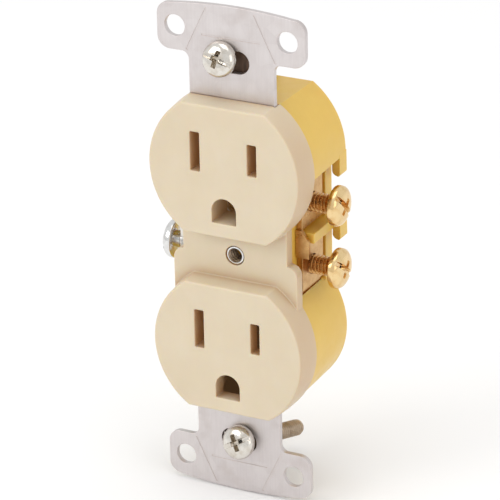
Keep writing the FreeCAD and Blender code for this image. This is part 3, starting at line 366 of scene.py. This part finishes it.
def softened(name, node, finish, slot, width):  # a moulded or stamped piece: the part's form with eased edges
    bm = bmesh.new()
    bm.from_mesh(frame["nodes"][node].data)
    bmesh.ops.remove_doubles(bm, verts=bm.verts, dist=easing["weld"] * mmToM)
    bmesh.ops.dissolve_limit(bm, angle_limit=math.radians(easing["level"]), verts=bm.verts, edges=bm.edges)
    mesh = bpy.data.meshes.new(name)
    bm.to_mesh(mesh)
    bm.free()
    piece = addPiece(name, mesh, [finish], node)
    softenEdges(piece, width, easing["angle"], easing["steps"])
    laidOn(piece.data, frame["nodes"][node].data, width * easing["thrown"])
    smoothShade(piece.data)
    flat = piece.modifiers.new("large faces stay flat", "WEIGHTED_NORMAL")
    flat.keep_sharp = True


easedPieces = [  # piece, node, finish, slot, width of the eased edge in mm
    ("frontCover", "front_cover", "ivory", "ivory_moulding", 0.22),
    ("rearBody", "rear_body", "yellow", "yellow_moulding", 0.20),
    ("mountingStrap", "mounting_strap", "galvanised", "strap_steel", 0.12),
    ("upperRetainer", "upper_screw_retainer", "fibre", "dark_fibre", 0.10),
    ("lowerRetainer", "lower_screw_retainer", "fibre", "dark_fibre", 0.10),
    ("hotBusBar", "hot_bus_bar", "brassStrip", "brass_strip", 0.08),
    ("neutralBusBar", "neutral_bus_bar", "tinStrip", "plated_strip", 0.08),
    ("upperGroundContact", "ground_contact_upper", "brassStrip", "brass_strip", 0.06),
    ("lowerGroundContact", "ground_contact_lower", "brassStrip", "brass_strip", 0.06),
    ("contactRivets", "ground_contact_rivets", "brassStrip", "rivet_brass", 0.08),
]
for wire in ("hot", "neutral"):
    for level in ("Upper", "Lower"):
        easedPieces.append((wire + level + "Spring", "%s_push_in_spring_%s" % (wire, level.lower()),
                            "springSteel", "spring_steel", 0.05))
for row in easedPieces:
    softened(*row)
print("moulded and stamped pieces made:", len(easedPieces))


def gridFaces(bm, rings):  # joins rings of the same length into a skin
    around = len(rings[0])
    for near, far in zip(rings, rings[1:]):
        for i in range(around):
            j = (i + 1) % around
            bm.faces.new((near[i], near[j], far[j], far[i]))


def ringAt(bm, radius, height, around):
    return [bm.verts.new((radius * mmToM * math.cos(2 * math.pi * i / around),
                          radius * mmToM * math.sin(2 * math.pi * i / around),
                          height * mmToM)) for i in range(around)]


def lathe(bm, profile, around):  # profile is (radius, height) in mm; radius 0 closes an end
    rings = []
    for radius, height in profile:
        if radius == 0:
            rings.append(bm.verts.new((0, 0, height * mmToM)))
            continue
        rings.append(ringAt(bm, radius, height, around))
    for near, far in zip(rings, rings[1:]):
        if isinstance(near, list) and isinstance(far, list):
            gridFaces(bm, [near, far])
            continue
        hub, ring = (near, far) if isinstance(far, list) else (far, near)
        for i in range(around):
            bm.faces.new((hub, ring[i], ring[(i + 1) % around]))


threadShape = {"flat": 0.16, "flank": 0.34}  # shares of the pitch


def threadHeight(phase):  # one turn of the thread's outline: flat root, flank, flat crest, flank
    flat, flank = threadShape["flat"], threadShape["flank"]
    phase %= 1.0
    if phase < flat:
        return 0.0
    if phase < flat + flank:
        return (phase - flat) / flank
    if phase < 2 * flat + flank:
        return 1.0
    return (1.0 - phase) / flank


def threadRings(bm, s, start, end, crest, around, inward=False):
    count = max(3, int((end - start) / s["pitch"] * s["stepsPerTurn"]))
    rings = []
    for k in range(count + 1):
        height = start + (end - start) * k / count
        ring = []
        for i in range(around):
            angle = 2 * math.pi * i / around
            rise = threadHeight(height / s["pitch"] - i / around)
            fade = min(1.0, (height - start) / s["runOut"], (end - height) / s["tipFade"])
            depth = s["threadDepth"] * (1 - rise * max(fade, 0.0))
            if height > end - s["tipFade"]:
                depth += (1 - (end - height) / s["tipFade"]) * s["tipTaper"]
            radius = (crest + depth if inward else crest - depth) * mmToM
            ring.append(bm.verts.new((radius * math.cos(angle), radius * math.sin(angle), height * mmToM)))
        rings.append(ring)
    gridFaces(bm, rings)
    return rings


def wedge(bm, topLong, topWide, lowLong, lowWide, top, low, turn):  # one tapered arm of a driver recess
    rotate = Matrix.Rotation(turn, 4, "Z")
    corners = []
    for long, wide, height in ((topLong, topWide, top), (lowLong, lowWide, low)):
        for x, y in ((-1, -1), (1, -1), (1, 1), (-1, 1)):
            corners.append(bm.verts.new(rotate @ Vector((x * long * mmToM, y * wide * mmToM, height * mmToM))))
    for face in ((0, 1, 2, 3), (7, 6, 5, 4), (0, 4, 5, 1), (1, 5, 6, 2), (2, 6, 7, 3), (3, 7, 4, 0)):
        bm.faces.new([corners[i] for i in face])


def asObject(name, bm):
    bmesh.ops.recalc_face_normals(bm, faces=bm.faces)
    mesh = bpy.data.meshes.new(name)
    bm.to_mesh(mesh)
    bm.free()
    made = bpy.data.objects.new(name, mesh)
    scene.collection.objects.link(made)
    return made


driverCut = {"above": 0.5, "slotTaper": 0.9, "flare": 0.12, "longTaper": 0.42, "wideTaper": 0.7}


def screwHead(s):  # heights run back from the head's flat underside, so the crown is at the most negative
    thick, crown, radius = s["headThick"], s["crown"], s["headRadius"]
    rim = [(radius - s["rimEase"] * (1 - math.cos(a)), -s["rimEase"] * (1 - math.sin(a)))
           for a in (math.pi / 8 * k for k in range(5))]
    rim = [(r, h) for r, h in reversed(rim)]
    shoulder = thick * s["rimShare"]
    dome = []
    for k in range(s["domeSteps"] + 1):
        share = k / s["domeSteps"]
        dome.append((radius * math.cos(share * math.pi / 2) ** s["domePower"],
                     -shoulder - (thick + crown - shoulder) * math.sin(share * math.pi / 2)))
    dome[-1] = (0, dome[-1][1])
    profile = [(0, 0.0), (s["shankRadius"], 0.0)] + rim + dome
    bm = bmesh.new()
    lathe(bm, profile, s["around"])
    head = asObject("headBlank", bm)
    above = driverCut["above"]
    top = -(thick + crown) - above
    for kind in ("slot", "crossA", "crossB"):
        cut = bmesh.new()
        if kind == "slot":
            wedge(cut, s["slotLong"], s["slotWide"] / 2,
                  s["slotLong"], s["slotWide"] / 2 * driverCut["slotTaper"],
                  top, top + above + s["slotDeep"], 0)
        else:
            wedge(cut, s["crossLong"], s["crossWide"] / 2 + driverCut["flare"],
                  s["crossLong"] * driverCut["longTaper"], s["crossWide"] / 2 * driverCut["wideTaper"],
                  top, top + above + s["crossDeep"], 0 if kind == "crossA" else math.pi / 2)
        cutter = asObject(kind, cut)
        boolean = head.modifiers.new(kind, "BOOLEAN")
        boolean.object = cutter
        boolean.solver = "EXACT"
        settled(head)
        bpy.data.objects.remove(cutter)
    softenEdges(head, s["ease"], s["easeAngle"], s["easeSteps"])
    return head


def screw(name, s, turn):  # drawn along +Z from the head's underside to the tip
    head = screwHead(s)
    bm = bmesh.new()
    bm.from_mesh(head.data)
    bmesh.ops.rotate(bm, verts=bm.verts, cent=(0, 0, 0), matrix=Matrix.Rotation(turn, 3, "Z"))
    bpy.data.objects.remove(head)
    around = s["shankAround"]
    neck = ringAt(bm, s["neckRadius"], -s["neckSunk"], around)
    neckEnd = ringAt(bm, s["neckRadius"], s["neckLong"], around)
    gridFaces(bm, [neck, neckEnd])
    bm.faces.new(neck)
    plainFaces = len(bm.faces)
    rings = threadRings(bm, s, s["neckLong"], s["length"], s["shankRadius"], around)
    gridFaces(bm, [neckEnd, rings[0]])
    bm.faces.new(list(reversed(rings[-1])))
    bmesh.ops.recalc_face_normals(bm, faces=bm.faces)
    bm.faces.ensure_lookup_table()
    for i in range(plainFaces, len(bm.faces)):
        bm.faces[i].material_index = 1
    mesh = bpy.data.meshes.new(name)
    bm.to_mesh(mesh)
    bm.free()
    smoothShade(mesh, 40)
    return mesh


def camelName(node):
    first, *rest = node.split("_")
    return first + "".join(word.capitalize() for word in rest)


def aimed(origin, direction):  # turns +Z onto a direction and moves it to a point
    return Matrix.Translation(origin) @ Vector(direction).to_track_quat("Z", "Y").to_matrix().to_4x4()


terminalScrew = {"shankRadius": 2.05, "neckRadius": 1.78, "neckLong": 0.9, "length": 7.4, "pitch": 0.794,
                 "threadDepth": 0.40, "stepsPerTurn": 22, "runOut": 0.5, "tipFade": 0.9, "tipTaper": 0.42,
                 "headRadius": 4.2, "headThick": 1.9, "crown": 0.6, "rimEase": 0.3, "rimShare": 0.45,
                 "domeSteps": 12, "domePower": 0.55, "around": 96, "shankAround": 64,
                 "slotLong": 4.6, "slotWide": 1.05, "slotDeep": 1.0,
                 "crossLong": 2.2, "crossWide": 1.05, "crossDeep": 1.75, "ease": 0.09,
                 "easeAngle": 38, "easeSteps": 2, "neckSunk": 0.2}
terminalTurns = {"hot_screw_upper": 46, "hot_screw_lower": 38, "neutral_screw_upper": 70,
                 "neutral_screw_lower": 10, "ground_screw": -50}
terminalLooks = {"hot": ("brassPlate", "brassThread", "brass_screw"),
                 "neutral": ("nickelPlate", "nickelPlate", "nickel_screw"),
                 "ground": ("greenDye", "greenDye", "green_screw")}
for node, degrees in terminalTurns.items():
    low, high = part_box(node)
    middle = (low + high) / 2
    outward = 1 if middle.x > 0 else -1
    headTall = (terminalScrew["headThick"] + terminalScrew["crown"]) * mmToM
    under = (high.x if outward > 0 else low.x) - outward * headTall
    finish, threadFinish, slot = terminalLooks[node.split("_")[0]]
    mesh = screw(node, terminalScrew, math.radians(degrees))
    place = aimed((under, middle.y, middle.z), (-outward, 0, 0))
    addPiece(camelName(node), mesh, [finish, threadFinish], node, place)
print("terminal screws made:", len(terminalTurns))

boxScrew = {"shankRadius": 1.75, "neckRadius": 1.5, "neckLong": 1.2, "length": 25.4, "pitch": 0.794,
            "threadDepth": 0.36, "stepsPerTurn": 18, "runOut": 0.5, "tipFade": 1.9, "tipTaper": 0.75,
            "headRadius": 3.6, "headThick": 1.7, "crown": 0.6, "rimEase": 0.25, "rimShare": 0.35,
            "domeSteps": 12, "domePower": 0.6, "around": 96, "shankAround": 48,
            "slotLong": 4.0, "slotWide": 1.0, "slotDeep": 0.75,
            "crossLong": 2.2, "crossWide": 0.95, "crossDeep": 1.5, "ease": 0.09,
            "easeAngle": 38, "easeSteps": 2, "neckSunk": 0.2}
boxTurns = {"upper": 15, "lower": -30}
joints = {joint["name"]: joint for joint in frame["joints"]}
for level, degrees in boxTurns.items():
    node = level + "_box_screw"
    joint = joints[node + "_turn"]
    mesh = screw(node, boxScrew, math.radians(degrees))
    place = aimed(joint["pos_m"], joint["axis"])
    addPiece(camelName(node), mesh, ["zincPlate", "dullShank"], node, place)
print("box screws made")

bush = {"outer": 1.95, "bore": 1.45, "length": 6.5, "flange": 2.9, "flangeAt": 3.5, "flangeThick": 0.6,
        "pitch": 0.794, "threadDepth": 0.28, "stepsPerTurn": 10, "runOut": 0.3, "tipFade": 0.3,
        "tipTaper": 0.0,
        "around": 64, "mouthEase": 0.18, "cornerEase": 0.1, "lipEase": 0.2, "lipRound": 0.06}


def coverScrewBush(s):
    bm = bmesh.new()
    inner = threadRings(bm, s, s["mouthEase"], s["length"] - s["mouthEase"], s["bore"], s["around"], inward=True)
    for face in bm.faces:
        face.material_index = 1
    flangeBack = s["flangeAt"] + s["flangeThick"]
    ease = s["cornerEase"]
    outline = [(s["bore"] + s["threadDepth"] + ease, s["length"]), (s["outer"] - ease, s["length"]),
               (s["outer"], s["length"] - ease), (s["outer"], flangeBack),
               (s["flange"] - ease, flangeBack), (s["flange"], flangeBack - ease),
               (s["flange"], s["flangeAt"] + ease), (s["flange"] - ease, s["flangeAt"]),
               (s["outer"], s["flangeAt"]), (s["outer"], s["lipEase"]),
               (s["outer"] - s["lipRound"], s["lipRound"]), (s["outer"] - s["lipEase"], 0.0),
               (s["bore"] + s["threadDepth"] * 0.5, 0.0)]
    rings = []
    for radius, height in outline:
        rings.append(ringAt(bm, radius, height, s["around"]))
    gridFaces(bm, [inner[-1]] + rings + [inner[0]])
    bmesh.ops.recalc_face_normals(bm, faces=bm.faces)
    mesh = bpy.data.meshes.new("coverScrewBush")
    bm.to_mesh(mesh)
    bm.free()
    smoothShade(mesh, 34)
    place = aimed((0, 0, 0), (0, 1, 0))
    addPiece("coverScrewBush", mesh, ["nickelPlate", "dullShank"], "cover_screw_bush", place)


coverScrewBush(bush)
print("cover screw bush made")

softened("assemblyScrews", "assembly_screws", "zincPlate", "zinc_screw", 0.12)


cameraSettings = {"azimuth": 27.434, "elevation": 23.614, "roll": -1.127, "distance": 0.700,
                  "across": 0.00495, "up": 0.002676, "focal": 251.0, "aimDepth": -0.0043}


def addCamera(s):
    az, el, roll = (math.radians(s[k]) for k in ("azimuth", "elevation", "roll"))
    forward = Vector((-math.sin(az) * math.cos(el), math.cos(az) * math.cos(el), -math.sin(el)))
    level = Vector((math.cos(az), math.sin(az), 0))
    rise = level.cross(forward)
    right = level * math.cos(roll) + rise * math.sin(roll)
    up = rise * math.cos(roll) - level * math.sin(roll)
    place = right * s["across"] + up * s["up"] - forward * s["distance"] + Vector((0, s["aimDepth"], 0))
    data = bpy.data.cameras.new("camera")
    data.lens = s["focal"]
    data.sensor_width = 36
    data.clip_start = 0.05
    data.clip_end = 20
    camera = bpy.data.objects.new("camera", data)
    turn = Matrix((right, up, -forward)).transposed()
    camera.matrix_world = Matrix.Translation(place) @ turn.to_4x4()
    scene.collection.objects.link(camera)
    scene.camera = camera


addCamera(cameraSettings)

lamps = {  # place in m, size in m, power in W, colour
    "keyLeft": ((-0.55, -0.70, 0.55), 0.45, 2.2, (1.0, 0.98, 0.95)),
    "topSoft": ((0.05, -0.10, 0.95), 0.70, 2.0, (1.0, 1.0, 1.0)),
    "fillRight": ((0.75, -0.35, 0.30), 0.50, 0.7, (1.0, 0.95, 0.90)),
}


def addLamp(name, place, size, power, tint):
    data = bpy.data.lights.new(name, "AREA")
    data.energy = power
    data.size = size
    data.color = tint
    lamp = bpy.data.objects.new(name, data)
    towards = (-Vector(place)).to_track_quat("-Z", "Y").to_matrix().to_4x4()
    lamp.matrix_world = Matrix.Translation(place) @ towards
    scene.collection.objects.link(lamp)


for name, row in lamps.items():
    addLamp(name, *row)

studio = {"sky": (1.0, 1.0, 1.0), "strength": 0.86}
world = bpy.data.worlds.new("studio")
scene.world = world
world.use_nodes = True
background = world.node_tree.nodes["Background"]
background.inputs["Color"].default_value = (*studio["sky"], 1)
background.inputs["Strength"].default_value = studio["strength"]

floorLook = {"half": 3.0, "drop": 0.0002, "shade": (0.93, 0.93, 0.93)}


def addFloor(s):
    bm = bmesh.new()
    low = cadBounds[0][2] - s["drop"]
    corners = ((-1, -1), (1, -1), (1, 1), (-1, 1))
    bm.faces.new([bm.verts.new((x * s["half"], y * s["half"], low)) for x, y in corners])
    floor = asObject("floor", bm)
    material = bpy.data.materials.new("paleFloor")
    material.use_nodes = True
    shader = material.node_tree.nodes["Principled BSDF"]
    shader.inputs["Base Color"].default_value = (*s["shade"], 1)
    shader.inputs["Roughness"].default_value = 0.9
    floor.data.materials.append(material)


addFloor(floorLook)
print("camera, lamps and floor set")
